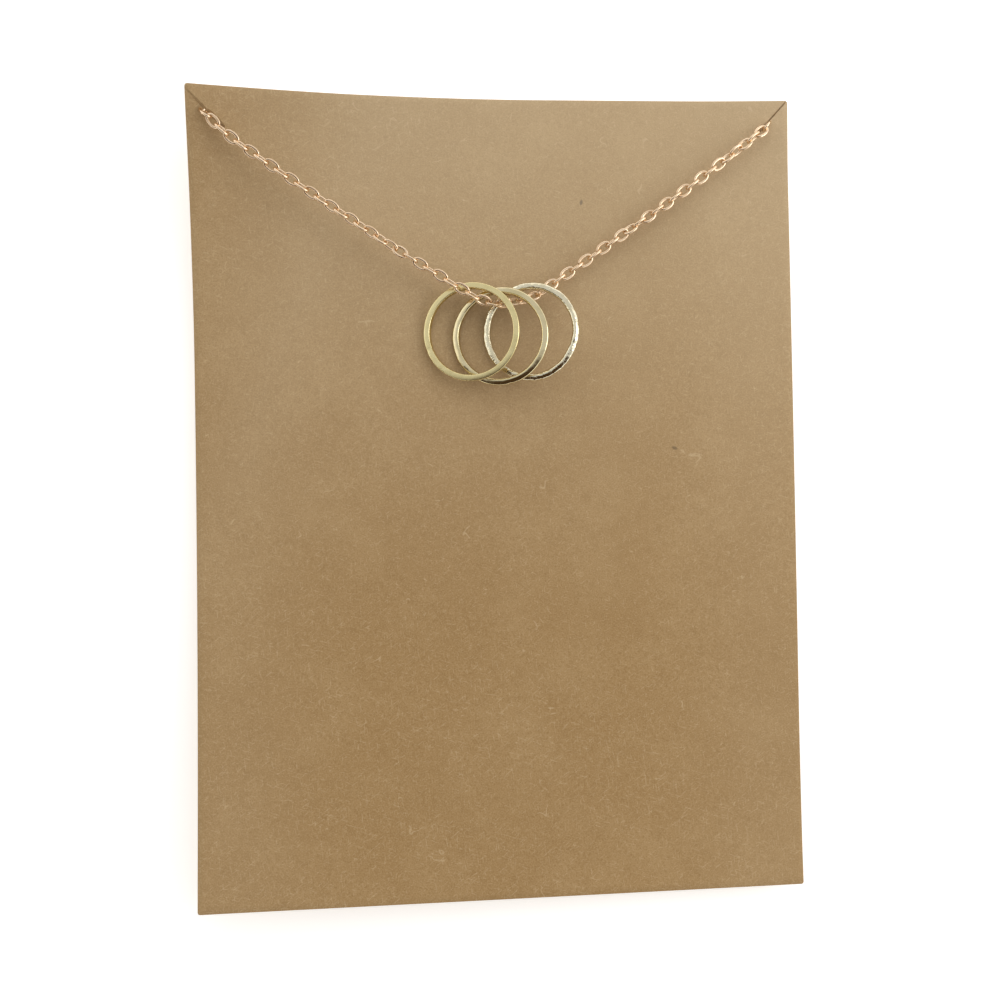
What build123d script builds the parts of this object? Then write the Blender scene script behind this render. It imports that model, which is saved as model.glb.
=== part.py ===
from build123d import *
from collections import namedtuple
import math
import os

# A necklace of three open circle rings on one fine cable chain, mounted on a plain kraft card.
# Millimetres. X runs across the card, Y up the card and Z out of its front face.
# The card lies face up on the stretch of chain that passes behind it, and Z = 0 is the surface below.

# Chain, given as the round envelope of its links
chain_diameter = 1.2

# Card
card_width = 63.0
card_height = 83.6
card_thickness = 0.45
chain_back_gap = 0.1

# Curls of the card's two left corners. Each starts at a straight bend line that meets the left edge
# at edge_share of the card's height from the bottom, and runs towards the corner at direction degrees.
# The front face is bent to radius_share of the card's height.
Curl = namedtuple("Curl", "edge_share direction radius_share")
curls = [
    Curl(edge_share=0.661, direction=128.0, radius_share=0.60),
    Curl(edge_share=0.623, direction=-115.0, radius_share=4.80),
]

# Slits from the two top corners, each ending in a hole for the chain
slit_inset_x = 2.5
slit_inset_y = 3.0
slit_width = 0.25
slit_overrun = 1.0
hole_clearance = 0.3

# Rings of flat-faced wire with rounded edges
ring_outer_diameter = 10.2
ring_wire_width = 0.66
ring_wire_thickness = 0.6
ring_edge_radius = 0.2
ring_tilt = 17.5
ring_card_gap = 0.05
ring_places = {
    "ring_left": (-2.88, 16.95),
    "ring_middle": (0.10, 16.47),
    "ring_right": (3.30, 16.93),
}

# Clasp, a plain ring of the chain's thickness with an end tab on each side
clasp_outer_diameter = 6.0
clasp_tab_reach = 3.7
clasp_tab_diameter = 1.0
clasp_y = 29.6

# Heights of the chain's axis over the card at its holes, and over the surface behind the card
over_hole = 1.35
chain_axis_z = chain_diameter / 2

card_back_z = chain_diameter + chain_back_gap
card_front_z = card_back_z + card_thickness
half_width = card_width / 2
half_height = card_height / 2
far = 2 * (card_width + card_height)


def curl_vector(curl):
    """Unit direction from the bend line towards the curled corner."""
    angle = math.radians(curl.direction)
    return math.cos(angle), math.sin(angle)


def curl_start(curl):
    """Distance from the card's centre to the bend line, along the curl's direction."""
    run_x, run_y = curl_vector(curl)
    edge_y = (curl.edge_share - 0.5) * card_height
    return -half_width * run_x + edge_y * run_y


def curl_radius(curl):
    """Radius of the front face in the curl."""
    return curl.radius_share * card_height


def bent(x, y):
    """Place on the front face of the curled card of a point of the flat one."""
    place = Vector(x, y, card_front_z)
    for curl in curls:
        run_x, run_y = curl_vector(curl)
        past = max(0.0, x * run_x + y * run_y - curl_start(curl))
        radius = curl_radius(curl)
        turn = past / radius
        slide = radius * math.sin(turn) - past
        place += Vector(slide * run_x, slide * run_y, radius * (1 - math.cos(turn)))
    return place


def front_z(x, y):
    """Height of the card's front face at a place seen from straight above."""
    height = card_front_z
    for curl in curls:
        run_x, run_y = curl_vector(curl)
        past = max(0.0, x * run_x + y * run_y - curl_start(curl))
        radius = curl_radius(curl)
        height += radius - math.sqrt(radius * radius - past * past)
    return height


hole_left = bent(-half_width + slit_inset_x, half_height - slit_inset_y)
hole_right = bent(half_width - slit_inset_x, half_height - slit_inset_y)

# Chain route, chosen by hand. Behind the card it lies on the surface in four long runs.
chain_behind_left = [
    (-clasp_tab_reach, clasp_y),
    (-7.4, clasp_y),
    (-10.3, 25.8),
    (-11.2, 20.5),
    (-10.3, 10.0),
    (-11.3, -8.0),
    (-10.4, -24.0),
    (-11.4, -32.4),
    (-16.0, -37.6),
    (-22.6, -36.8),
    (-25.8, -30.6),
    (-25.0, -17.0),
    (-26.4, 2.0),
    (-25.5, 18.0),
    (-27.0, 28.5),
    (-27.9, 34.0),
]
chain_behind_right = [
    (28.1, 35.0),
    (27.0, 29.8),
    (25.4, 20.0),
    (26.2, 3.0),
    (24.8, -15.0),
    (25.6, -29.4),
    (22.8, -36.2),
    (16.4, -37.6),
    (11.6, -33.0),
    (10.3, -25.0),
    (11.2, -11.0),
    (10.4, 7.0),
    (11.2, 20.0),
    (10.3, 25.6),
    (7.4, clasp_y),
    (clasp_tab_reach, clasp_y),
]
# In front, each point has the height of the chain's axis over the card's front face. The chain hangs on
# its holes and the rings, and its left arm spans the hollow of the curled corner.
chain_in_front = [
    (hole_left.X, hole_left.Y, over_hole),
    (-26.53, 36.35, 2.0),
    (-23.72, 34.26, 2.49),
    (-18.93, 31.04, 2.83),
    (-14.49, 28.14, 2.87),
    (-10.27, 25.21, 2.76),
    (-7.62, 23.54, 2.72),
    (-6.0, 22.59, 2.7),
    (-4.79, 21.78, 2.66),
    (-3.66, 21.14, 2.7),
    (-2.31, 20.36, 2.55),
    (-0.85, 19.84, 2.18),
    (0.73, 19.92, 1.82),
    (2.41, 20.24, 1.57),
    (4.0, 20.79, 1.33),
    (5.63, 21.96, 1.13),
    (7.26, 23.08, 1.08),
    (9.84, 24.87, 1.03),
    (13.64, 27.52, 1.0),
    (18.12, 30.56, 1.0),
    (22.3, 33.64, 1.04),
    (25.31, 35.9, 1.12),
    (27.0, 37.2, 1.3),
    (hole_right.X, hole_right.Y, over_hole),
]

# Share of the shorter run that each rounded corner of the route takes up
corner_share = 0.45


def beyond_bend(curl):
    """A large block that holds everything on the corner's side of a bend line."""
    run_x, run_y = curl_vector(curl)
    start = curl_start(curl)
    frame = Plane(origin=(start * run_x, start * run_y, 0), x_dir=(run_x, run_y, 0), z_dir=(0, 0, 1))
    return frame * Box(far, 2 * far, far, align=(Align.MIN, Align.CENTER, Align.CENTER))


def card_outline():
    """The curled card's outline seen from above, as an upright prism."""
    top_curl, bottom_curl = curls
    top_x, top_y = curl_vector(top_curl)
    low_x, low_y = curl_vector(bottom_curl)
    top_break = ((curl_start(top_curl) - half_height * top_y) / top_x, half_height)
    left_top_break = (-half_width, (top_curl.edge_share - 0.5) * card_height)
    left_low_break = (-half_width, (bottom_curl.edge_share - 0.5) * card_height)
    right_break = (half_width, (curl_start(bottom_curl) - half_width * low_x) / low_y)
    corners = [
        (half_width, half_height),
        top_break,
        (-half_width, half_height),
        left_top_break,
        left_low_break,
        (-half_width, -half_height),
        (half_width, -half_height),
        right_break,
    ]
    edges = [outline_edge(here, there) for here, there in zip(corners, corners[1:] + corners[:1])]
    return extrude(make_face(edges), amount=far)


def outline_edge(here, there):
    """One stretch of the outline seen from above, an arc where the card is curled."""
    middle = ((here[0] + there[0]) / 2, (here[1] + there[1]) / 2)
    start, half, end = [Vector(p.X, p.Y, 0) for p in (bent(*here), bent(*middle), bent(*there))]
    least_bow = 0.02
    if (half - (start + end) / 2).length < least_bow:
        return Line(start, end)
    return ThreePointArc(start, half, end)


def curled_sheet(curl, outline):
    """The part of the card beyond a bend line, a slice of a thin cylinder."""
    run_x, run_y = curl_vector(curl)
    radius = curl_radius(curl)
    side = Plane(origin=(0, 0, 0), x_dir=(run_x, run_y, 0), z_dir=(run_y, -run_x, 0))
    centre = (curl_start(curl), card_front_z + radius)
    steepest_sweep = 80.0
    sweep_angle = min(steepest_sweep, math.degrees(card_height / radius))
    front = CenterArc(centre, radius, -90, sweep_angle)
    back = CenterArc(centre, radius + card_thickness, -90, sweep_angle)
    section = make_face([front, Line(front @ 1, back @ 1), back, Line(back @ 0, front @ 0)])
    return extrude(side * section, amount=far, both=True) & outline


def display_card():
    """The card with its two curls, slits and chain holes."""
    outline = card_outline()
    flat = Pos(0, 0, card_back_z) * Box(far, far, card_thickness, align=(Align.CENTER, Align.CENTER, Align.MIN))
    sheet = flat & outline
    for curl in curls:
        sheet -= beyond_bend(curl)
    for curl in curls:
        sheet += curled_sheet(curl, outline)
    hole_radius = chain_diameter / 2 + hole_clearance
    for hole, corner_x in ((hole_left, -half_width), (hole_right, half_width)):
        corner = bent(corner_x, half_height)
        run = Vector(corner.X - hole.X, corner.Y - hole.Y, 0)
        slit_frame = Plane(origin=(hole.X, hole.Y, 0), x_dir=run, z_dir=(0, 0, 1))
        slit_length = run.length + slit_overrun
        sheet -= slit_frame * Box(slit_length, slit_width, far, align=(Align.MIN, Align.CENTER, Align.MIN))
        sheet -= Pos(hole.X, hole.Y, 0) * Cylinder(hole_radius, far, align=(Align.CENTER, Align.CENTER, Align.MIN))
    return sheet


def open_ring(x, y):
    """One ring with its left rim down on the card and its right rim raised."""
    tilt = math.radians(ring_tilt)
    drop = ring_outer_diameter / 2 * math.sin(tilt) + ring_wire_thickness / 2 * math.cos(tilt)
    centre_z = card_front_z + ring_card_gap + drop
    wire_radius = (ring_outer_diameter - ring_wire_width) / 2
    wire = RectangleRounded(ring_wire_width, ring_wire_thickness, ring_edge_radius)
    ring = revolve(Plane.XZ * Pos(wire_radius, 0) * wire, axis=Axis.Z)
    return Pos(x, y, centre_z) * Rot(0, -ring_tilt, 0) * ring


def plain_clasp():
    """The clasp ring with its two end tabs, lying flat behind the card."""
    wire_radius = chain_diameter / 2
    loop_radius = clasp_outer_diameter / 2 - wire_radius
    clasp = Torus(loop_radius, wire_radius)
    for side in (-1, 1):
        tab_length = clasp_tab_reach - loop_radius
        middle_x = side * (loop_radius + tab_length / 2)
        clasp += Pos(middle_x, 0, 0) * Rot(0, 90, 0) * Cylinder(clasp_tab_diameter / 2, tab_length)
    return Pos(0, clasp_y, chain_axis_z) * clasp


def chain_points():
    """The whole route from one end tab of the clasp round to the other."""
    behind_left = [Vector(x, y, chain_axis_z) for x, y in chain_behind_left]
    under_left = Vector(hole_left.X, hole_left.Y, chain_axis_z)
    front = [Vector(x, y, front_z(x, y) + over) for x, y, over in chain_in_front]
    under_right = Vector(hole_right.X, hole_right.Y, chain_axis_z)
    behind_right = [Vector(x, y, chain_axis_z) for x, y in chain_behind_right]
    return behind_left + [under_left] + front + [under_right] + behind_right


def corner_radii(points):
    """Arc radius at each inner point of the route, as large as its two runs allow."""
    radii = []
    for before, here, after in zip(points, points[1:], points[2:]):
        arriving, leaving = here - before, after - here
        half_turn = math.radians(arriving.get_angle(leaving) / 2)
        radii.append(corner_share * min(arriving.length, leaving.length) / math.tan(half_turn))
    return radii


def chain_tube():
    """The chain as one tube of straight runs joined by tangent arcs."""
    points = chain_points()
    radii = corner_radii(points)
    path = FilletPolyline(*points, radius=radii)
    section = Plane(origin=path @ 0, z_dir=path % 0) * Circle(chain_diameter / 2)
    tube = sweep(section, path=path)
    print("chain corner radii:", [round(radius, 2) for radius in radii])
    print("chain length:", round(path.length, 1))
    print("chain volume over section times length:", round(tube.volume / (section.area * path.length), 4))
    return tube


def build():
    """Every piece of the necklace and its card, by node name."""
    pieces = {"card": display_card(), "chain": chain_tube(), "clasp": plain_clasp()}
    for name, (x, y) in ring_places.items():
        pieces[name] = open_ring(x, y)
    return pieces


os.makedirs("parts", exist_ok=True)
for name, shape in build().items():
    export_step(shape, f"parts/{name}.step")
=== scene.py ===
import logging
import math
import random
from bisect import bisect_right
from collections.abc import Callable
from dataclasses import dataclass, field
from enum import Enum

import bmesh
import bpy
from mathutils import Matrix, Vector, noise


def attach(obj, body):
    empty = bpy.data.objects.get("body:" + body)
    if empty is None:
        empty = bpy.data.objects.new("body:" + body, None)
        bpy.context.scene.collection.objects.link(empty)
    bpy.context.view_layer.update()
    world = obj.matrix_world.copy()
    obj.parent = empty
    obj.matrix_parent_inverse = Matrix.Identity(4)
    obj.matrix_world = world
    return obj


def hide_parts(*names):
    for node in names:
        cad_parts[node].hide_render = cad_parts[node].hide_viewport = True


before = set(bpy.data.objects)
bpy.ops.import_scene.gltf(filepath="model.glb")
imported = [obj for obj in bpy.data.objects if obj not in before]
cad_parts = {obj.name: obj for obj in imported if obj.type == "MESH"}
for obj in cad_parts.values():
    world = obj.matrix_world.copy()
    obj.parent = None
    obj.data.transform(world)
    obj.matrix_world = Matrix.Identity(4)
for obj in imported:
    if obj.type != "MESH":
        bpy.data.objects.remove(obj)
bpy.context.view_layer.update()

# Three open circle rings on one fine cable chain, mounted on a curled kraft card.
# Sizes are in millimetres unless they say otherwise, and MM turns them to Blender's metres.
MM = 0.001

LOG = logging.getLogger("ring necklace")

Piece = bpy.types.Object
Material = bpy.types.Material
Tree = bpy.types.NodeTree
Node = bpy.types.Node
Socket = bpy.types.NodeSocket
Pair = tuple[float, float]
Triple = tuple[float, float, float]

# Numbers of the Mix node's sockets for two colours
MIX_FACTOR, MIX_FIRST, MIX_SECOND, MIX_RESULT = 0, 6, 7, 2


def linear(hex_colour: str) -> tuple[float, float, float, float]:
    """Turn an sRGB hex colour to the linear values that shaders take.

    Args:
        hex_colour: Six hex digits.

    Returns:
        Linear red, green, blue and full alpha.
    """
    values = []
    for start in (0, 2, 4):
        level = int(hex_colour[start:start + 2], 16) / 255
        values.append(level / 12.92 if level <= 0.04045 else ((level + 0.055) / 1.055) ** 2.4)
    return (*values, 1.0)


def per_metre(size_mm: float) -> float:
    """Texture scale that gives features of a size in millimetres."""
    return 1 / (size_mm * MM)


def add_node(tree: Tree, kind: str, inputs: dict | None = None, **settings) -> Node:
    """Add a node with its settings and links.

    Args:
        tree: Node tree of a material or of the world.
        kind: Type name of the node.
        inputs: A value or a source socket for each input, by the input's name or number.
        **settings: Values of the node's own properties.

    Returns:
        The new node.
    """
    node = tree.nodes.new(kind)
    for name, value in settings.items():
        setattr(node, name, value)
    for key, value in (inputs or {}).items():
        if isinstance(value, Socket):
            tree.links.new(value, node.inputs[key])
        else:
            node.inputs[key].default_value = value
    return node


def new_material(name: str) -> tuple[Material, Tree, Node, Socket]:
    """Make a material with one principled shader.

    Args:
        name: The material's name.

    Returns:
        The material, its node tree, its shader and the coordinates on its piece.
    """
    material = bpy.data.materials.new(name)
    material.use_nodes = True
    tree = material.node_tree
    place = add_node(tree, "ShaderNodeTexCoord").outputs["Object"]
    return material, tree, tree.nodes["Principled BSDF"], place


def take_up(piece: Piece) -> None:
    """Make a piece the only selected object, and the active one."""
    bpy.ops.object.select_all(action="DESELECT")
    piece.select_set(True)
    bpy.context.view_layer.objects.active = piece


def select_points(piece: Piece, wanted: Callable[[Vector], bool]) -> None:
    """Select vertices of the piece in edit mode by their place.

    Args:
        piece: Object whose mesh is in edit mode.
        wanted: Test of a vertex's place.
    """
    shape = bmesh.from_edit_mesh(piece.data)
    for vertex in shape.verts:
        vertex.select = wanted(vertex.co)
    shape.select_flush_mode()
    bmesh.update_edit_mesh(piece.data)


def apply_modifier(piece: Piece, kind: str, **settings) -> None:
    """Give a piece one modifier and apply it.

    Args:
        piece: The object that is shaped.
        kind: The modifier's type.
        **settings: The modifier's values.
    """
    take_up(piece)
    modifier = piece.modifiers.new(kind.lower(), kind)
    for name, value in settings.items():
        setattr(modifier, name, value)
    bpy.ops.object.modifier_apply(modifier=modifier.name)


def close_up(piece: Piece) -> None:
    """Merge the doubles of a spun mesh and turn its faces outwards."""
    weld = 0.002
    take_up(piece)
    bpy.ops.object.mode_set(mode="EDIT")
    bpy.ops.mesh.select_all(action="SELECT")
    bpy.ops.mesh.remove_doubles(threshold=weld * MM)
    bpy.ops.mesh.normals_make_consistent(inside=False)
    bpy.ops.object.mode_set(mode="OBJECT")


def finish_piece(piece: Piece, name: str, smooth_angle: float) -> None:
    """Name a piece, put its place into its mesh and smooth it by angle.

    Args:
        piece: The shaped object.
        name: The piece's name.
        smooth_angle: Sharpest angle in degrees that is still shaded smooth.
    """
    take_up(piece)
    bpy.ops.object.transform_apply(location=True, rotation=True, scale=True)
    bpy.ops.object.shade_smooth_by_angle(angle=math.radians(smooth_angle))
    piece.name = name
    piece.data.name = name


def coat(piece: Piece, *materials: Material) -> None:
    """Give a piece its materials in place of any that it has."""
    piece.data.materials.clear()
    for material in materials:
        piece.data.materials.append(material)


@dataclass(frozen=True)
class KraftBoard:
    """Uncoated kraft board: machine-made brown paper, matt and fine-grained, with hairs and flecks."""

    name: str = "uncoated kraft board"
    body: str = "A5865B"
    pale: str = "B5986E"
    deep: str = "95764B"
    hair: str = "D8C19D"
    fleck: str = "4A3523"
    # Colour of the painted sheen of light, paler towards the card's top and sides
    painted_sheen_colour: str = "EDDDBF"
    cloud_mm: float = 7.0
    mottle_mm: float = 1.1
    grain_mm: float = 0.15
    fibre_length_mm: float = 0.9
    fibre_width_mm: float = 0.12
    fibre_turns: tuple[float, ...] = (0.3, 1.45, 2.5)
    hair_reach_mm: float = 3.4
    hair_patch_mm: float = 2.4
    hair_width: float = 0.007
    fleck_size_mm: Pair = (7.5, 14.0)
    # Where the painted sheen of light starts and is full, up the card and out towards its sides
    painted_sheen_heights_mm: Pair = (-20.0, 55.0)
    painted_sheen_sides_mm: Pair = (14.0, 30.0)
    relief_mm: float = 0.02
    roughness: float = 0.88

    def material(self) -> Material:
        """Mix clouds, grain, fibres, hairs, flecks and a painted sheen of light over the brown, with a
        fine paper relief.
        """
        material, tree, shader, place = new_material(self.name)
        patterns = []
        for size, detail in ((self.cloud_mm, 3.0), (self.mottle_mm, 4.0), (self.grain_mm, 2.0)):
            inputs = {"Vector": place, "Scale": per_metre(size), "Detail": detail}
            patterns.append(add_node(tree, "ShaderNodeTexNoise", inputs).outputs["Fac"])
        cloud, mottle, grain = patterns
        colour = linear(self.body)
        for tint, pattern, start, full, most in (
            (self.pale, cloud, 0.4, 0.7, 0.35),
            (self.deep, mottle, 0.4, 0.8, 0.35),
            (self.pale, grain, 0.5, 0.72, 0.65),
            (self.deep, grain, 0.5, 0.28, 0.65),
            *((self.hair, self.fibres(tree, place, turn), 0.62, 0.74, 0.22) for turn in self.fibre_turns),
        ):
            colour = self.tinted(tree, colour, tint, pattern, start, full, most)
        # Hairs and flecks are the board's own; the last layer is a painted sheen of light
        for layer in (self.hairs, self.flecks, self.painted_sheen):
            colour = layer(tree, place, colour)
        tree.links.new(colour, shader.inputs["Base Color"])
        inputs = {"Height": grain, "Distance": self.relief_mm * MM, "Strength": 0.8}
        relief = add_node(tree, "ShaderNodeBump", inputs)
        tree.links.new(relief.outputs["Normal"], shader.inputs["Normal"])
        shader.inputs["Roughness"].default_value = self.roughness
        shader.inputs["Specular IOR Level"].default_value = 0.2
        return material

    def fibres(self, tree: Tree, place: Socket, turn: float) -> Socket:
        """Noise drawn out along one direction, as pulp fibres lie.

        Args:
            tree: The material's node tree.
            place: Coordinates on the board.
            turn: Direction of the fibres in radians.

        Returns:
            Strength of the fibres.
        """
        along, across = per_metre(self.fibre_length_mm), per_metre(self.fibre_width_mm)
        turned = add_node(tree, "ShaderNodeMapping", {"Vector": place, "Rotation": (0.0, 0.0, turn)})
        inputs = {"Vector": turned.outputs["Vector"], "Scale": (along, across, along)}
        drawn = add_node(tree, "ShaderNodeMapping", inputs)
        inputs = {"Vector": drawn.outputs["Vector"], "Scale": 1.0, "Detail": 1.0}
        return add_node(tree, "ShaderNodeTexNoise", inputs).outputs["Fac"]

    def hairs(self, tree: Tree, place: Socket, colour: Socket) -> Socket:
        """Scatter a few long pale hairs, as thin level lines of a noise that show only in small patches.

        Args:
            tree: The material's node tree.
            place: Coordinates on the board.
            colour: Colour below.

        Returns:
            The colour with its hairs.
        """
        waves, patches = (
            add_node(tree, "ShaderNodeTexNoise", {"Vector": place, "Scale": scale}).outputs["Fac"]
            for scale in map(per_metre, (self.hair_reach_mm, self.hair_patch_mm))
        )
        inputs = {0: waves, 1: 0.5, 2: self.hair_width}
        line = add_node(tree, "ShaderNodeMath", inputs, operation="COMPARE")
        inputs = {"Value": patches, "From Min": 0.64, "From Max": 0.68}
        shown = add_node(tree, "ShaderNodeMapRange", inputs)
        inputs = {0: line.outputs["Value"], 1: shown.outputs["Result"]}
        hair = add_node(tree, "ShaderNodeMath", inputs, operation="MULTIPLY")
        return self.tinted(tree, colour, self.hair, hair.outputs["Value"], 0.0, 1.0, 0.3)

    def flecks(self, tree: Tree, place: Socket, colour: Socket) -> Socket:
        """Scatter a few short dark flecks of bark, each longer than it is wide.

        Args:
            tree: The material's node tree.
            place: Coordinates on the board.
            colour: Colour below.

        Returns:
            The colour with its flecks.
        """
        across, along = (per_metre(size) for size in self.fleck_size_mm)
        for turn, most in ((0.2, 0.85), (1.9, 0.6)):
            turned = add_node(tree, "ShaderNodeMapping", {"Vector": place, "Rotation": (0.0, 0.0, turn)})
            inputs = {"Vector": turned.outputs["Vector"], "Scale": (across, along, along)}
            drawn = add_node(tree, "ShaderNodeMapping", inputs)
            inputs = {"Vector": drawn.outputs["Vector"], "Scale": 1.0}
            spots = add_node(tree, "ShaderNodeTexVoronoi", inputs)
            colour = self.tinted(tree, colour, self.fleck, spots.outputs["Distance"], 0.03, 0.014, most)
        return colour

    def painted_sheen(self, tree: Tree, place: Socket, colour: Socket) -> Socket:
        """Paint a pale sheen of light on the board, towards its sides and its top short of the curl.

        Args:
            tree: The material's node tree.
            place: Coordinates on the board.
            colour: Colour below.

        Returns:
            The colour with its painted sheen of light.
        """
        curl_slope = 2.5
        curl_start = 72 * MM
        axes = add_node(tree, "ShaderNodeSeparateXYZ", {"Vector": place}).outputs
        inputs = {0: axes["X"], 1: curl_slope, 2: curl_start}
        inward = add_node(tree, "ShaderNodeMath", inputs, operation="MULTIPLY_ADD").outputs["Value"]
        upward = add_node(tree, "ShaderNodeMath", {0: axes["Y"], 1: inward}, operation="MINIMUM")
        outward = add_node(tree, "ShaderNodeMath", {0: axes["X"]}, operation="ABSOLUTE")
        # Painted sheen of light: strongest at the card's top, short of the curled corner, and towards its
        # sides
        for pattern, reach, most in (
            (upward, self.painted_sheen_heights_mm, 0.3),
            (outward, self.painted_sheen_sides_mm, 0.055),
        ):
            start, full = (place_mm * MM for place_mm in reach)
            colour = self.tinted(tree, colour, self.painted_sheen_colour, pattern.outputs["Value"], start, full, most)
        return colour

    def tinted(
        self,
        tree: Tree,
        base: Socket | tuple,
        tint: str,
        pattern: Socket,
        start: float,
        full: float,
        most: float,
    ) -> Socket:
        """Lay a tint over a colour where a pattern is strong.

        Args:
            tree: The material's node tree.
            base: Colour below.
            tint: Colour on top, as six hex digits.
            pattern: Strength of the pattern.
            start: Pattern level where the tint starts.
            full: Pattern level where the tint is full.
            most: Share of the tint where it is full.

        Returns:
            The mixed colour.
        """
        inputs = {"Value": pattern, "From Min": start, "From Max": full, "To Min": 0.0, "To Max": most}
        share = add_node(tree, "ShaderNodeMapRange", inputs, interpolation_type="SMOOTHSTEP")
        inputs = {MIX_FACTOR: share.outputs["Result"], MIX_FIRST: base, MIX_SECOND: linear(tint)}
        return add_node(tree, "ShaderNodeMix", inputs, data_type="RGBA").outputs[MIX_RESULT]


@dataclass(frozen=True)
class CutBoardEdge:
    """Die-cut edge of the board: bare pressed fibre, paler and greyer than the face."""

    name: str = "cut edge of kraft board"
    body: str = "AE9A7C"
    pale: str = "C4B294"
    layer_mm: float = 0.09
    fibre_mm: float = 0.54
    relief_mm: float = 0.02
    roughness: float = 0.95

    def material(self) -> Material:
        """Grey brown with fine layers of fibre along the edge."""
        material, tree, shader, place = new_material(self.name)
        along, through = per_metre(self.fibre_mm), per_metre(self.layer_mm)
        drawn = add_node(tree, "ShaderNodeMapping", {"Vector": place, "Scale": (along, along, through)})
        inputs = {"Vector": drawn.outputs["Vector"], "Scale": 1.0, "Detail": 2.0}
        layers = add_node(tree, "ShaderNodeTexNoise", inputs).outputs["Fac"]
        inputs = {MIX_FACTOR: layers, MIX_FIRST: linear(self.body), MIX_SECOND: linear(self.pale)}
        colour = add_node(tree, "ShaderNodeMix", inputs, data_type="RGBA")
        tree.links.new(colour.outputs[MIX_RESULT], shader.inputs["Base Color"])
        inputs = {"Height": layers, "Distance": self.relief_mm * MM, "Strength": 1.0}
        relief = add_node(tree, "ShaderNodeBump", inputs)
        tree.links.new(relief.outputs["Normal"], shader.inputs["Normal"])
        shader.inputs["Roughness"].default_value = self.roughness
        shader.inputs["Specular IOR Level"].default_value = 0.15
        return material


@dataclass(frozen=True)
class Plating:
    """Gold plating over brass: a coloured mirror, broken up by fine wear and by the surface below it."""

    name: str
    colour: str
    tarnish: str
    roughness: float
    wear_mm: float
    relief_size_mm: float
    relief_mm: float

    def material(self) -> Material:
        """Full metal in the plating's colour, slightly deeper where it is worn."""
        material, tree, shader, place = new_material(self.name)
        patterns = []
        for size, detail in ((self.wear_mm, 3.0), (self.relief_size_mm, 2.0)):
            inputs = {"Vector": place, "Scale": per_metre(size), "Detail": detail}
            patterns.append(add_node(tree, "ShaderNodeTexNoise", inputs).outputs["Fac"])
        wear, dents = patterns
        levels = []
        for start, full, least, most in (
            (0.45, 0.75, 0.0, 0.6),
            (0.3, 0.7, 0.8 * self.roughness, 1.3 * self.roughness),
        ):
            inputs = {"Value": wear, "From Min": start, "From Max": full, "To Min": least, "To Max": most}
            levels.append(add_node(tree, "ShaderNodeMapRange", inputs).outputs["Result"])
        tarnished, dulled = levels
        inputs = {MIX_FACTOR: tarnished, MIX_FIRST: linear(self.colour), MIX_SECOND: linear(self.tarnish)}
        colour = add_node(tree, "ShaderNodeMix", inputs, data_type="RGBA")
        tree.links.new(colour.outputs[MIX_RESULT], shader.inputs["Base Color"])
        tree.links.new(dulled, shader.inputs["Roughness"])
        inputs = {"Height": dents, "Distance": self.relief_mm * MM, "Strength": 1.0}
        relief = add_node(tree, "ShaderNodeBump", inputs)
        tree.links.new(relief.outputs["Normal"], shader.inputs["Normal"])
        shader.inputs["Metallic"].default_value = 1.0
        return material


@dataclass(frozen=True)
class SweepPaper:
    """Matt white background paper of the studio, lit until it reads as white."""

    name: str = "matt white background paper"
    colour: str = "FCFCFB"
    glow: float = 0.45
    tooth_mm: float = 0.4
    relief_mm: float = 0.01

    def material(self) -> Material:
        """Plain white with a faint tooth, and enough glow to keep shadows on it pale."""
        material, tree, shader, place = new_material(self.name)
        inputs = {"Vector": place, "Scale": per_metre(self.tooth_mm), "Detail": 2.0}
        tooth = add_node(tree, "ShaderNodeTexNoise", inputs)
        inputs = {"Height": tooth.outputs["Fac"], "Distance": self.relief_mm * MM, "Strength": 0.5}
        relief = add_node(tree, "ShaderNodeBump", inputs)
        tree.links.new(relief.outputs["Normal"], shader.inputs["Normal"])
        shader.inputs["Base Color"].default_value = linear(self.colour)
        shader.inputs["Roughness"].default_value = 0.9
        shader.inputs["Emission Color"].default_value = linear(self.colour)
        shader.inputs["Emission Strength"].default_value = self.glow
        return material


@dataclass(frozen=True)
class Curl:
    """One curled corner of the card, bent about a straight line.

    It starts at a share of the left edge from its foot, and its radius is a share of the card's height.
    """

    edge_share: float
    direction: float
    radius_share: float


@dataclass(frozen=True)
class LiftedTip:
    """Tip of a top corner that rises more than the card around it."""

    side: int
    run: float
    rise: float
    direction: float = 52.0

    def lift(self, x: float, y: float) -> float:
        """Rise at a place measured from the card's corner, inwards and downwards."""
        from_tip = math.hypot(x, y) * math.cos(math.atan2(y, x) - math.radians(self.direction))
        return self.rise * max(0.0, 1 - max(0.0, from_tip) / self.run) ** 1.5


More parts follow.
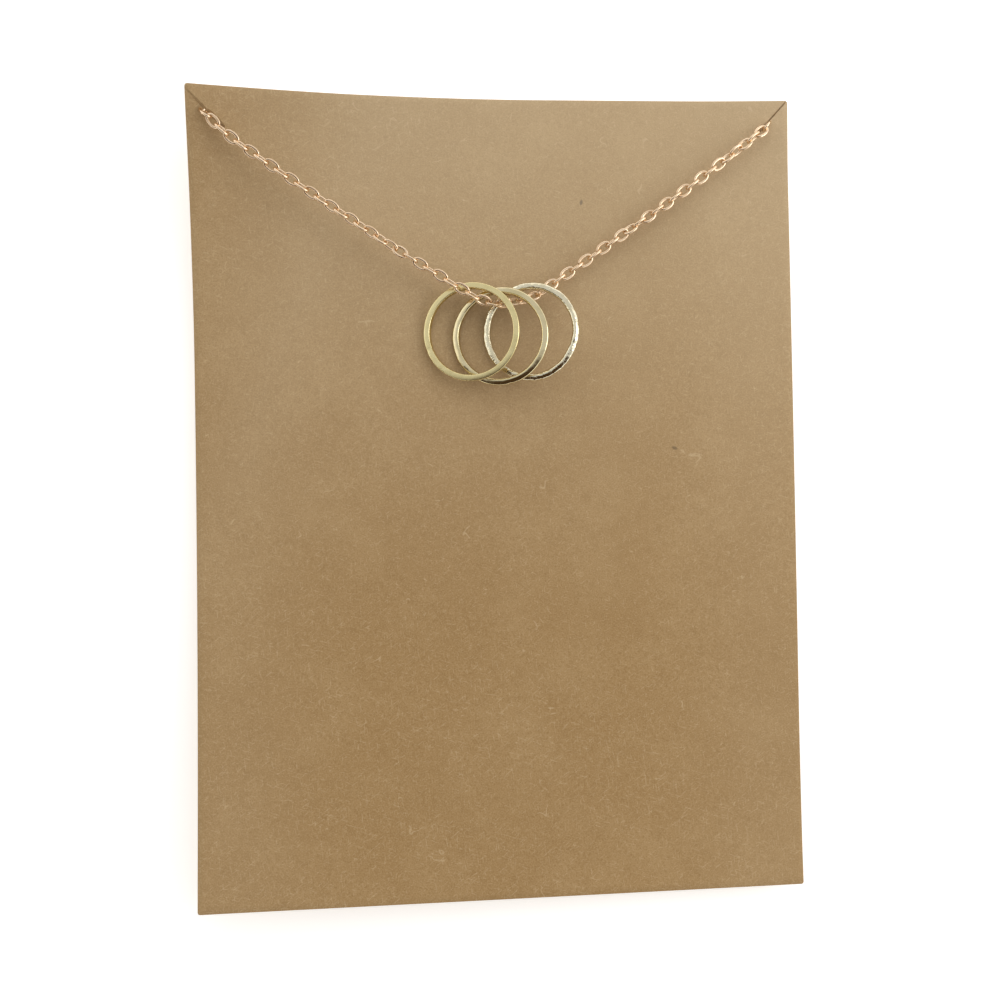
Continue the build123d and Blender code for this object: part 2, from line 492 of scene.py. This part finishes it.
@dataclass(frozen=True)
class CornerSlit:
    """One slit from a top corner into the card, which the chain holds open near its inner end.

    Places are on the flat card. The upper flap rises by the lift, and the lower one sinks by the drop.
    """

    side: int
    mouth: Pair
    end: Pair
    opening_share: float
    opening_length: float
    opening_width: float
    width: float
    lift: float
    drop: float

    @property
    def inward(self) -> Vector:
        """Flat vector from the slit's mouth to its inner end."""
        return Vector((*self.end, 0.0)) - Vector((*self.mouth, 0.0))

    @property
    def opening(self) -> Vector:
        """Middle of the stretch that the chain holds open."""
        return Vector((*self.mouth, 0.0)) + self.inward * self.opening_share

    @property
    def turn(self) -> float:
        """Direction from the inner end to the mouth, in radians."""
        return math.atan2(-self.inward.y, -self.inward.x)

    def flap_shift(self, x: float, y: float, cut_offset: float, reach: float, crest: float) -> float:
        """How far a flat point rises where the slit's flaps part.

        Args:
            x: Place across the flat card.
            y: Place up the flat card.
            cut_offset: How far the leaning cut stands off the slit's line at the point's depth.
            reach: Distance from the slit where its flaps lie flat again.
            crest: Share of the slit, from its inner end, where the flaps are furthest apart.

        Returns:
            The rise, below zero on the lower flap.
        """
        outward = -self.inward
        offset = Vector((x, y, 0.0)) - Vector((*self.end, 0.0))
        share = max(0.0, offset.dot(outward) / outward.length_squared)
        across = self.side * (outward.x * offset.y - outward.y * offset.x) / outward.length - cut_offset
        height = share / crest * math.exp(1 - share / crest) * max(0.0, 1 - abs(across) / reach)
        return height * self.lift if across > 0 else -height * self.drop


@dataclass
class DisplayCard:
    """The kraft card: curled at its left corners, with a slit for the chain at each top corner."""

    width: float = 63.0
    height: float = 83.6
    thickness: float = 0.45
    front_z: float = 1.75
    curls: tuple[Curl, ...] = (
        Curl(edge_share=0.661, direction=128.0, radius_share=0.60),
        Curl(edge_share=0.623, direction=-115.0, radius_share=4.80),
    )
    slits: tuple[CornerSlit, ...] = (
        CornerSlit(
            side=-1, mouth=(-31.5, 41.2), end=(-28.0, 37.85), width=0.05, lift=0.24, drop=0.05,
            opening_share=0.785, opening_length=2.4, opening_width=0.3,
        ),
        CornerSlit(
            side=1, mouth=(31.5, 41.56), end=(28.75, 38.55), width=0.13, lift=0.0, drop=-0.08,
            opening_share=0.92, opening_length=1.2, opening_width=0.3,
        ),
    )
    slit_lean: float = 45.0
    flap_reach: float = 4.0
    flap_crest: float = 0.36
    scuffed_tip: float = 0.3
    tips: tuple[LiftedTip, ...] = (
        LiftedTip(side=-1, run=10.5, rise=0.6),
        LiftedTip(side=1, run=7.0, rise=0.38),
    )
    bow_rises: Pair = (0.3, 0.2)
    bow_middles: Pair = (4.0, 3.0)
    cells: tuple[int, int] = (90, 120)
    corner_radius: float = 0.25
    rim_softening: float = 0.08

    def past_start(self, curl: Curl, x: float, y: float) -> tuple[Vector, float, float]:
        """How far past a curl's start a point lies.

        Args:
            curl: One of the card's curls.
            x: Place across the card.
            y: Place up the card.

        Returns:
            The curl's direction, its radius and the length past its start.
        """
        turn = math.radians(curl.direction)
        run_x, run_y = math.cos(turn), math.sin(turn)
        start = -self.width / 2 * run_x + (curl.edge_share - 0.5) * self.height * run_y
        past = max(0.0, x * run_x + y * run_y - start)
        return Vector((run_x, run_y, 0.0)), curl.radius_share * self.height, past

    def front_frame(self, x: float, y: float) -> tuple[Vector, Vector]:
        """Place and normal on the curled front face of a point of the flat one.

        Args:
            x: Place across the flat card.
            y: Place up the flat card.

        Returns:
            The place and the face's normal there.
        """
        place = Vector((x, y, self.front_z))
        normal = Vector((0.0, 0.0, 1.0))
        for curl in self.curls:
            run, radius, past = self.past_start(curl, x, y)
            turn = past / radius
            place += run * (radius * math.sin(turn) - past)
            place.z += radius * (1 - math.cos(turn))
            normal -= run * math.sin(turn)
        place.z += self.tip_lift(x, y) + self.bow_lift(x, y)
        return place, normal.normalized()

    def tip_lift(self, x: float, y: float) -> float:
        """Extra rise of the top corners' tips, which curl tighter than the rest."""
        return sum(tip.lift(self.width / 2 - tip.side * x, self.height / 2 - y) for tip in self.tips)

    def bow_lift(self, x: float, y: float) -> float:
        """Slight rise of the middles of the right and the bottom edge, as paper board warps."""
        up, across = self.bow_middles
        right = max(0.0, x / (self.width / 2)) ** 2 * max(0.0, 1 - (2 * (y - up) / self.height) ** 2)
        bottom = max(0.0, -y / (self.height / 2)) ** 3 * max(0.0, 1 - (2 * (x - across) / self.width) ** 2)
        return self.bow_rises[0] * right + self.bow_rises[1] * bottom

    def front_height(self, x: float, y: float) -> float:
        """Height of the front face at a place seen from straight above."""
        height = self.front_z
        for curl in self.curls:
            _, radius, past = self.past_start(curl, x, y)
            height += radius - math.sqrt(radius * radius - past * past)
        return height

    def flat_sheet(self) -> Piece:
        """The flat board with soft rims, its front face at height 0."""
        bpy.ops.mesh.primitive_grid_add(x_subdivisions=self.cells[0], y_subdivisions=self.cells[1], size=1)
        sheet = bpy.context.object
        bpy.ops.object.mode_set(mode="EDIT")
        bpy.ops.transform.resize(value=(self.width * MM, self.height * MM, 1), center_override=(0, 0, 0))
        near = 0.1
        corner_x, corner_y = ((side / 2 - near) * MM for side in (self.width, self.height))
        select_points(sheet, lambda place: abs(place.x) > corner_x and abs(place.y) > corner_y)
        bpy.ops.mesh.bevel(offset=self.corner_radius * MM, affect="VERTICES", segments=3)
        bpy.ops.object.mode_set(mode="OBJECT")
        apply_modifier(sheet, "SOLIDIFY", thickness=self.thickness * MM, offset=-1.0)
        apply_modifier(
            sheet,
            "BEVEL",
            width=self.rim_softening * MM,
            segments=2,
            limit_method="ANGLE",
            angle_limit=math.radians(60),
        )
        return sheet

    def cut_slits(self, sheet: Piece) -> None:
        """Cut both slits and their held-open stretches, leaning so that nothing shows straight through."""
        depth = 6 * self.thickness * MM
        beyond_mouth = 0.6
        height = -self.thickness / 2
        for slit in self.slits:
            lean = -slit.side * math.radians(self.slit_lean)
            outward = slit.inward.normalized() * beyond_mouth / 2
            middle = Vector((*slit.mouth, 0.0)) + slit.inward / 2 - outward
            place = (middle.x * MM, middle.y * MM, height * MM)
            bpy.ops.mesh.primitive_cube_add(size=1, location=place)
            cutters = [(bpy.context.object, slit.inward.length + beyond_mouth, slit.width)]
            place = (slit.opening.x * MM, slit.opening.y * MM, height * MM)
            bpy.ops.mesh.primitive_cylinder_add(vertices=40, radius=0.5, depth=1, location=place)
            cutters.append((bpy.context.object, slit.opening_length, slit.opening_width))
            for cutter, length, width in cutters:
                cutter.rotation_euler = (lean, 0, slit.turn)
                cutter.scale = (length * MM, width * MM, depth)
                apply_modifier(sheet, "BOOLEAN", object=cutter, operation="DIFFERENCE", solver="EXACT")
                bpy.data.objects.remove(cutter, do_unlink=True)

    def curl_up(self, sheet: Piece) -> None:
        """Part the slit flaps along the leaning cuts and bend the flat board to its two curls."""
        lean = math.tan(math.radians(self.slit_lean))
        for vertex in sheet.data.vertices:
            flat = vertex.co / MM
            rise = 0.0
            for slit in self.slits:
                cut_offset = (flat.z + self.thickness / 2) * lean
                rise += slit.flap_shift(flat.x, flat.y, cut_offset, self.flap_reach, self.flap_crest)
            place, normal = self.front_frame(flat.x, flat.y)
            vertex.co = (place + normal * (flat.z + rise)) * MM

    def dress(self, sheet: Piece) -> None:
        """Give the flat board and its slits the kraft finish, and its rim and worn tip bare fibre."""
        coat(sheet, KraftBoard().material(), CutBoardEdge().material())
        flattest_edge = 0.8
        rim_width = 0.3
        tip = Vector((-self.width / 2, self.height / 2, 0.0))
        for polygon in sheet.data.polygons:
            middle = polygon.center / MM
            from_rim = min(self.width / 2 - abs(middle.x), self.height / 2 - abs(middle.y))
            cut = from_rim < rim_width and abs(polygon.normal.z) < flattest_edge
            worn = (middle - tip).length < self.scuffed_tip
            polygon.material_index = 1 if cut or worn else 0

    def build(self) -> None:
        """Model, curl and dress the card, and put it in place of its CAD solid."""
        sheet = self.flat_sheet()
        self.cut_slits(sheet)
        self.dress(sheet)
        self.curl_up(sheet)
        finish_piece(sheet, "kraft_card_sheet", smooth_angle=35.0)
        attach(sheet, "root")
        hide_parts("card")
        LOG.info("card: %d faces", len(sheet.data.polygons))


class WireSection(Enum):
    """Section of a ring's wire, as rounding radius in millimetres."""

    FLAT_FACED = 0.12
    SOFT_FACED = 0.21
    ROUND = 0.26


@dataclass
class OpenRing:
    """One closed ring of wire that leans with its left rim down on the card.

    Its twist is one place where the wire rolls more: the angle, the extra roll and the spread in degrees.
    """

    node: str
    x: float
    y: float
    section: WireSection
    finish: Plating
    seam_angle: float
    wobble: float
    dents: float
    cant: float
    wire_width: float
    twist: Triple = (0.0, 0.0, 25.0)
    outer_diameter: float = 10.2
    wire_thickness: float = 0.6
    tilt: float = 17.5
    card_gap: float = 0.05
    steps: int = 180

    def wire_ring(self) -> Piece:
        """Spin the wire's section round the ring's axis."""
        wire_radius = (self.outer_diameter - self.wire_width) / 2
        place = (wire_radius * MM, 0, 0)
        bpy.ops.mesh.primitive_plane_add(size=1, location=place, rotation=(math.pi / 2, 0, 0))
        ring = bpy.context.object
        bpy.ops.object.transform_apply(location=True, rotation=True, scale=True)
        bpy.ops.object.mode_set(mode="EDIT")
        bpy.ops.mesh.select_all(action="SELECT")
        section = (self.wire_width * MM, 1, self.wire_thickness * MM)
        bpy.ops.transform.resize(value=section, center_override=place)
        bpy.ops.mesh.bevel(offset=self.section.value * MM, affect="VERTICES", segments=5)
        bpy.ops.mesh.delete(type="ONLY_FACE")
        bpy.ops.mesh.select_all(action="SELECT")
        bpy.ops.mesh.spin(steps=self.steps, angle=2 * math.pi, center=(0, 0, 0), axis=(0, 0, 1))
        bpy.ops.object.mode_set(mode="OBJECT")
        close_up(ring)
        return ring

    def hand_work(self, ring: Piece, seed: float) -> None:
        """Make the wire slightly uneven and draw it in at its soldered seam.

        Args:
            ring: The spun ring, still flat and centred.
            seed: Offset into the noise, a different one for each ring.
        """
        seam_width = 0.035
        seam_depth = 0.12
        slow_waves = 2.2
        quick_waves = 1.7
        wire_radius = (self.outer_diameter - self.wire_width) / 2
        for vertex in ring.data.vertices:
            flat = vertex.co / MM
            angle = math.atan2(flat.y, flat.x)
            out = Vector((math.cos(angle), math.sin(angle), 0.0))
            core = out * wire_radius
            slow_place = (slow_waves * math.cos(angle) + seed, slow_waves * math.sin(angle), seed)
            slow = noise.noise(Vector(slow_place))
            quick = noise.noise(flat * quick_waves + Vector((seed, 0, 0)))
            from_seam = math.remainder(angle - math.radians(self.seam_angle), 2 * math.pi)
            pinch = seam_depth * math.exp(-((from_seam / seam_width) ** 2))
            swell = 1 + self.dents * quick - pinch
            upright = Vector((-math.sin(angle), math.cos(angle), 0.0))
            section = Matrix.Rotation(self.roll(angle), 3, upright) @ (flat - core)
            vertex.co = (core + section * swell + out * self.wobble * slow) * MM

    def roll(self, angle: float) -> float:
        """Roll in radians of the wire at an angle round the ring, with its one twisted place."""
        middle, more, width = self.twist
        away = math.degrees(math.remainder(angle - math.radians(middle), 2 * math.pi)) / width
        return math.radians(self.cant + more * math.exp(-(away**2)))

    def set_down(self, ring: Piece) -> None:
        """Lean the ring and set its left rim down on the card."""
        ring.data.transform(Matrix.Rotation(-math.radians(self.tilt), 4, "Y"))
        lowest = min(vertex.co.z for vertex in ring.data.vertices)
        height = (DisplayCard.front_z + self.card_gap) * MM - lowest
        ring.data.transform(Matrix.Translation((self.x * MM, self.y * MM, height)))

    def build(self) -> None:
        """Model, dress and place the ring."""
        ring = self.wire_ring()
        self.hand_work(ring, seed=self.x)
        self.set_down(ring)
        finish_piece(ring, "open_" + self.node, smooth_angle=50.0)
        coat(ring, self.finish.material())
        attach(ring, "root")
        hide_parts(self.node)
        LOG.info("%s: %d faces", self.node, len(ring.data.polygons))


@dataclass
class RouteLine:
    """The smooth line that the chain follows, with its length worked out along it."""

    places: list[Vector]
    lengths: list[float] = field(default_factory=lambda: [0.0])

    def __post_init__(self) -> None:
        """Add up the length at each place."""
        for before, here in zip(self.places, self.places[1:]):
            self.lengths.append(self.lengths[-1] + (here - before).length)

    def at(self, length: float) -> tuple[Vector, Vector]:
        """Place and direction at a length along the line.

        Args:
            length: Length from the line's start.

        Returns:
            The place and the unit direction there.
        """
        last = len(self.places) - 1
        index = min(bisect_right(self.lengths, length), last) - 1
        here, there = self.places[index], self.places[index + 1]
        share = (length - self.lengths[index]) / (self.lengths[index + 1] - self.lengths[index])
        before, after = self.places[max(0, index - 1)], self.places[min(last, index + 2)]
        return here.lerp(there, share), (after - before).normalized()

    def length_nearest(self, x: float, y: float, above: float) -> float:
        """Length at the place nearest to x and y, among the places above a height."""
        raised = [index for index, place in enumerate(self.places) if place.z > above]
        nearest = min(raised, key=lambda index: (self.places[index].xy - Vector((x, y))).length)
        return self.lengths[nearest]


@dataclass
class CableChain:
    """The necklace's chain: oval links set crosswise along one smooth route, from clasp to clasp."""

    card: DisplayCard
    link_length: float = 1.84
    link_width: float = 1.27
    wire: float = 0.32
    flattening: float = 0.85
    behind_z: float = 0.57
    left_passage: Triple = (-29.7, 39.25, 0.4)
    right_passage: Triple = (29.3, 39.1, 0.6)
    pitch: float = 1.18
    steepest: float = 0.85
    sway: float = 5.0
    seed: int = 11

    # The route as the CAD model has it, with its passages through the card moved out along the slits.
    # In front, each point has the height of the chain's axis over the card's front face.
    behind_left: tuple[Pair, ...] = (
        (-3.7, 29.6), (-7.4, 29.6), (-10.3, 25.8), (-11.2, 20.5), (-10.3, 10.0), (-11.3, -8.0),
        (-10.4, -24.0), (-11.4, -32.4), (-16.0, -37.6), (-22.6, -36.8), (-25.8, -30.6),
        (-25.0, -17.0), (-26.4, 2.0), (-25.5, 18.0), (-27.0, 28.5), (-27.9, 34.0),
    )
    in_front: tuple[Triple, ...] = (
        (-28.5, 37.75, 1.45), (-26.65, 36.12, 2.0), (-23.75, 34.14, 2.49), (-18.93, 30.92, 2.83),
        (-14.49, 28.03, 2.87), (-10.27, 25.18, 2.76), (-7.62, 23.54, 2.72), (-6.0, 22.59, 2.7),
        (-4.79, 21.78, 2.66), (-3.66, 21.14, 2.7), (-2.31, 20.36, 2.55), (-0.85, 19.84, 2.18),
        (0.73, 19.92, 1.82), (2.41, 20.24, 1.57), (4.0, 20.79, 1.33), (5.63, 21.96, 1.13),
        (7.26, 23.08, 1.08), (9.84, 24.87, 1.03), (13.64, 27.52, 1.0), (18.12, 30.56, 1.0),
        (22.3, 33.64, 1.04), (25.31, 35.9, 1.12), (27.0, 37.15, 1.3), (28.6, 38.4, 1.1),
    )
    behind_right: tuple[Pair, ...] = (
        (28.1, 35.0), (27.0, 29.8), (25.4, 20.0), (26.2, 3.0), (24.8, -15.0), (25.6, -29.4),
        (22.8, -36.2), (16.4, -37.6), (11.6, -33.0), (10.3, -25.0), (11.2, -11.0), (10.4, 7.0),
        (11.2, 20.0), (10.3, 25.6), (7.4, 29.6), (3.7, 29.6),
    )

    # Middles of links that the photograph shows, and how many links lie from one to the next.
    # The first of them lies more face up than on edge.
    shown_links: tuple[Pair, ...] = (
        (-26.58, 36.46), (-6.05, 22.6), (-1.5, 20.3), (7.33, 23.13), (20.0, 31.95), (28.34, 38.28),
    )
    links_between: tuple[int, ...] = (21, 4, 9, 13, 9)

    # Roll of the link pattern in degrees, by the number of links past the first one shown
    rolls: tuple[Pair, ...] = (
        (-6.0, 35.0), (-3.0, 35.0), (-2.0, 26.0), (12.0, 34.0), (15.0, 50.0), (17.0, 72.0),
        (19.0, 116.0), (25.0, 122.0), (30.0, 140.0), (34.0, 190.0), (40.0, 192.0), (42.0, 262.0),
        (50.0, 278.0), (53.0, 320.0), (56.0, 350.0), (61.0, 350.0),
    )

    def route_points(self) -> list[Vector]:
        """Points of the whole route, from one end tab of the clasp round to the other."""
        left, right = self.left_passage, self.right_passage
        points = [Vector((x, y, self.behind_z)) for x, y in (*self.behind_left, left[:2])]
        for x, y, over in (left, *self.in_front, right):
            points.append(Vector((x, y, self.card.front_height(x, y) + over)))
        points += [Vector((x, y, self.behind_z)) for x, y in (right[:2], *self.behind_right)]
        return points

    def route_line(self) -> RouteLine:
        """The route as a NURBS spline has it, read back as a fine line in millimetres."""
        points = self.route_points()
        curve = bpy.data.curves.new("chain_route", "CURVE")
        curve.dimensions = "3D"
        curve.resolution_u = 24
        spline = curve.splines.new("NURBS")
        spline.points.add(len(points) - 1)
        for control, place in zip(spline.points, points):
            control.co = (*(place * MM), 1.0)
        spline.order_u = 3
        spline.use_endpoint_u = True
        holder = bpy.data.objects.new("chain_route", curve)
        outline = bpy.data.meshes.new_from_object(holder)
        line = RouteLine([vertex.co / MM for vertex in outline.vertices])
        bpy.data.objects.remove(holder)
        bpy.data.meshes.remove(outline)
        bpy.data.curves.remove(curve)
        return line

    def link(self, around: int, across: int) -> Piece:
        """One oval link of slightly flattened wire, lying flat along X.

        Args:
            around: Divisions along the link's wire.
            across: Divisions round the wire's section.

        Returns:
            The link, centred on the origin.
        """
        reach = Vector((self.link_length - self.wire, self.link_width - self.wire)) / 2 * MM
        bpy.ops.curve.primitive_bezier_circle_add(radius=1)
        link = bpy.context.object
        bpy.ops.object.mode_set(mode="EDIT")
        bpy.ops.curve.select_all(action="SELECT")
        bpy.ops.transform.resize(value=(reach.x, reach.y, 1), center_override=(0, 0, 0))
        bpy.ops.object.mode_set(mode="OBJECT")
        link.data.resolution_u = around // 4
        link.data.bevel_depth = self.wire / 2 * MM
        link.data.bevel_resolution = across // 2 - 2
        bpy.ops.object.convert(target="MESH")
        bpy.ops.object.mode_set(mode="EDIT")
        bpy.ops.mesh.select_all(action="SELECT")
        bpy.ops.transform.resize(value=(1, 1, self.flattening), center_override=(0, 0, 0))
        bpy.ops.object.mode_set(mode="OBJECT")
        return link

    def link_lengths(self, line: RouteLine) -> tuple[list[float], int]:
        """Where each link's middle lies along the line.

        Args:
            line: The chain's route.

        Returns:
            The lengths in order, and the number of links before the first one shown.
        """
        marks = [line.length_nearest(x, y, self.card.front_z) for x, y in self.shown_links]
        before = round(marks[0] / self.pitch)
        after = round((line.lengths[-1] - marks[-1]) / self.pitch)
        stretches = [(0.0, marks[0], before)]
        stretches += list(zip(marks, marks[1:], self.links_between))
        stretches += [(marks[-1], line.lengths[-1], after)]
        middles = []
        for start, end, count in stretches:
            middles += [start + (end - start) * number / count for number in range(count)]
        return middles[1:], before - 1

    def roll(self, number: int) -> float:
        """Roll in radians of the link with this number, counted from the first one shown."""
        crosswise = 90.0 * (number % 2)
        keys = self.rolls
        if not keys[0][0] < number < keys[-1][0]:
            return math.radians(45.0 + crosswise)
        (start, low), (end, high) = next(pair for pair in zip(keys, keys[1:]) if number <= pair[1][0])
        return math.radians(low + (high - low) * (number - start) / (end - start) + crosswise)

    def lay_links(self, line: RouteLine) -> dict[str, list[Piece]]:
        """Copy a link to every place along the line, each crosswise to the one before it.

        Args:
            line: The chain's route.

        Returns:
            The links in front of the card and those behind it.
        """
        chance = random.Random(self.seed)
        fine, plain = self.link(around=32, across=10), self.link(around=12, across=4)
        lengths, first_shown = self.link_lengths(line)
        stretches: dict[str, list[Piece]] = {"front": [], "behind": []}
        side = Vector((0.0, 1.0, 0.0))
        under_card = self.card.front_z - self.card.thickness
        for index, length in enumerate(lengths):
            place, along = line.at(length)
            if abs(along.z) > self.steepest:
                side = (side - along * side.dot(along)).normalized()
            else:
                side = Vector((0.0, 0.0, 1.0)).cross(along).normalized()
            lift = along.cross(side)
            turn = self.roll(index - first_shown) + math.radians(chance.uniform(-self.sway, self.sway))
            width_way = side * math.cos(turn) + lift * math.sin(turn)
            facing = along.cross(width_way)
            frame_of_link = Matrix((along, width_way, facing)).transposed().to_4x4()
            shown = place.z > under_card
            copy = (fine if shown else plain).copy()
            copy.data = copy.data.copy()
            copy.data.transform(Matrix.Translation(place * MM) @ frame_of_link)
            bpy.context.scene.collection.objects.link(copy)
            stretches["front" if shown else "behind"].append(copy)
        for master in (fine, plain):
            bpy.data.objects.remove(master, do_unlink=True)
        LOG.info("chain line: %.1f mm, %d links", line.lengths[-1], len(lengths))
        return stretches

    def build(self) -> None:
        """Lay the links along the route and join them to a front and a back stretch."""
        stretches = self.lay_links(self.route_line())
        plating = ROSE_PLATING.material()
        for name, links in stretches.items():
            bpy.ops.object.select_all(action="DESELECT")
            for copy in links:
                copy.select_set(True)
            bpy.context.view_layer.objects.active = links[0]
            bpy.ops.object.join()
            stretch = bpy.context.object
            finish_piece(stretch, "chain_links_" + name, smooth_angle=75.0)
            coat(stretch, plating)
            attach(stretch, "root")
            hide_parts("chain")
            LOG.info("chain %s: %d links, %d faces", name, len(links), len(stretch.data.polygons))


ROSE_PLATING = Plating(
    name="satin rose gold plating",
    colour="F3DABB",
    tarnish="E0C099",
    roughness=0.24,
    wear_mm=1.1,
    relief_size_mm=0.25,
    relief_mm=0.006,
)
SATIN_PLATING = Plating(
    name="satin pale gold plating",
    colour="EADDA9",
    tarnish="D8C990",
    roughness=0.22,
    wear_mm=0.9,
    relief_size_mm=0.12,
    relief_mm=0.004,
)
POLISHED_PLATING = Plating(
    name="polished pale gold plating",
    colour="DFD3AD",
    tarnish="CBBD8B",
    roughness=0.14,
    wear_mm=1.2,
    relief_size_mm=0.5,
    relief_mm=0.012,
)
HAMMERED_PLATING = Plating(
    name="hammered pale gold plating",
    colour="E9E2C8",
    tarnish="D3C6A0",
    roughness=0.13,
    wear_mm=0.8,
    relief_size_mm=0.45,
    relief_mm=0.07,
)


@dataclass
class Studio:
    """White sweep, a soft lamp from the card's top side, a fill, a pale surround and the camera."""

    floor_size: float = 3000.0
    lamp_distance: float = 260.0
    lamp_height_angle: float = 38.0
    lamp_size: float = 250.0
    lamp_power: float = 0.135
    fill_place: Triple = (160.0, 20.0, 110.0)
    fill_size: float = 140.0
    fill_power: float = 0.1
    surround_top: float = 0.72
    surround_rim: float = 1.35
    rim_heights: Pair = (0.6, 0.35)
    light_colour: str = "FFFDFA"
    shade_colour: str = "543F28"
    over_middle: Triple = (-0.15, -0.68, 0.72)
    over_reach: Pair = (0.73, 0.9)
    side_middle: Triple = (-0.78, -0.42, 0.46)
    side_reach: Pair = (0.945, 0.98)
    camera_place: Triple = (-8.752, -1.941, 122.305)
    camera_right: Triple = (0.99729, -0.01759, 0.07143)
    camera_up: Triple = (0.01668, 0.99977, 0.01328)
    camera_back: Triple = (-0.07164, -0.01205, 0.99736)
    lens: float = 41.4
    sensor: float = 36.0

    def floor(self) -> None:
        """Lay the white sweep paper under the necklace."""
        bpy.ops.mesh.primitive_plane_add(size=self.floor_size * MM)
        floor = bpy.context.object
        floor.name = "studio_floor"
        coat(floor, SweepPaper().material())

    def lamp(self, name: str, power: float, place: Vector, size: float, mirrored: bool) -> None:
        """Hang one round soft lamp that faces the card.

        Args:
            name: The lamp's name.
            power: Its power in watts.
            place: Its place in millimetres.
            size: Its diameter in millimetres.
            mirrored: Whether the metal mirrors the lamp itself, or only what it lights.
        """
        light = bpy.data.lights.new(name, "AREA")
        light.shape = "DISK"
        light.size = size * MM
        light.energy = power
        holder = bpy.data.objects.new(name, light)
        holder.visible_glossy = mirrored
        facing = place.to_track_quat("Z", "Y").to_matrix().to_4x4()
        holder.matrix_world = Matrix.Translation(place * MM) @ facing
        bpy.context.scene.collection.objects.link(holder)

    def surround(self) -> None:
        """Shade the world white, brightest low round the card, and brown where the camera's stand is."""
        world = bpy.data.worlds.new("studio surround")
        world.use_nodes = True
        bpy.context.scene.world = world
        tree = world.node_tree
        background = tree.nodes["Background"]
        direction = add_node(tree, "ShaderNodeTexCoord").outputs["Generated"]
        height = add_node(tree, "ShaderNodeSeparateXYZ", {"Vector": direction}).outputs["Z"]
        strength = self.level(tree, height, self.rim_heights, (self.surround_top, self.surround_rim))
        tree.links.new(strength, background.inputs["Strength"])
        shades = ((self.over_middle, self.over_reach), (self.side_middle, self.side_reach))
        open_shares = {}
        for number, (middle, reach) in enumerate(shades):
            inputs = {0: direction, 1: Vector(middle).normalized()}
            toward = add_node(tree, "ShaderNodeVectorMath", inputs, operation="DOT_PRODUCT")
            open_shares[number] = self.level(tree, toward.outputs["Value"], reach, (1.0, 0.0))
        unshaded = add_node(tree, "ShaderNodeMath", open_shares, operation="MULTIPLY")
        colours = {MIX_FIRST: linear(self.shade_colour), MIX_SECOND: linear(self.light_colour)}
        inputs = {MIX_FACTOR: unshaded.outputs["Value"], **colours}
        colour = add_node(tree, "ShaderNodeMix", inputs, data_type="RGBA")
        tree.links.new(colour.outputs[MIX_RESULT], background.inputs["Color"])

    def level(
        self,
        tree: Tree,
        pattern: Socket,
        reach: Pair,
        levels: Pair,
    ) -> Socket:
        """Turn a pattern to a smooth step between two light levels.

        Args:
            tree: The world's node tree.
            pattern: Value that the step follows.
            reach: The pattern's values where the step starts and ends.
            levels: The light levels there.

        Returns:
            The light level.
        """
        (start, end), (low, high) = reach, levels
        inputs = {"Value": pattern, "From Min": start, "From Max": end, "To Min": low, "To Max": high}
        step = add_node(tree, "ShaderNodeMapRange", inputs, interpolation_type="SMOOTHSTEP")
        return step.outputs["Result"]

    def camera(self) -> None:
        """Set the camera where the photograph was taken from."""
        lens = bpy.data.cameras.new("photo_camera")
        lens.lens = self.lens
        lens.sensor_width = self.sensor
        lens.clip_start = 10 * MM
        holder = bpy.data.objects.new("photo_camera", lens)
        axes = Matrix((self.camera_right, self.camera_up, self.camera_back)).transposed().to_4x4()
        holder.matrix_world = Matrix.Translation(Vector(self.camera_place) * MM) @ axes
        bpy.context.scene.collection.objects.link(holder)
        bpy.context.scene.camera = holder

    def build(self) -> None:
        """Set up the floor, the lights and the camera."""
        self.floor()
        lift = math.radians(self.lamp_height_angle)
        key_place = Vector((0, math.cos(lift), math.sin(lift))) * self.lamp_distance
        self.lamp("top_side_softbox", self.lamp_power, key_place, self.lamp_size, mirrored=False)
        fill_place = Vector(self.fill_place)
        self.lamp("right_side_fill", self.fill_power, fill_place, self.fill_size, mirrored=True)
        self.surround()
        self.camera()
        bpy.context.scene.view_settings.view_transform = "Standard"
        LOG.info("studio set up")


def dress_clasp() -> None:
    """Give the plain clasp behind the card the chain's plating."""
    coat(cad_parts["clasp"], ROSE_PLATING.material())
    LOG.info("clasp dressed")


def main() -> None:
    """Build the necklace, its card and the studio."""
    logging.basicConfig(level=logging.INFO)
    Studio().build()
    card = DisplayCard()
    card.build()
    rings = (
        OpenRing(
            node="ring_left", x=-2.88, y=16.95, section=WireSection.FLAT_FACED, finish=SATIN_PLATING,
            seam_angle=200.0, wobble=0.02, dents=0.02, cant=8.0, wire_width=0.66,
        ),
        OpenRing(
            node="ring_middle", x=0.10, y=16.47, section=WireSection.SOFT_FACED, finish=POLISHED_PLATING,
            seam_angle=281.0, wobble=0.03, dents=0.05, cant=16.0, wire_width=0.72,
        ),
        OpenRing(
            node="ring_right", x=3.30, y=16.93, section=WireSection.ROUND, finish=HAMMERED_PLATING,
            seam_angle=-18.0, wobble=0.07, dents=0.1, cant=18.0, wire_width=0.74, twist=(3.0, 38.0, 30.0),
        ),
    )
    for ring in rings:
        ring.build()
    CableChain(card).build()
    dress_clasp()


if __name__ == "__main__":
    main()
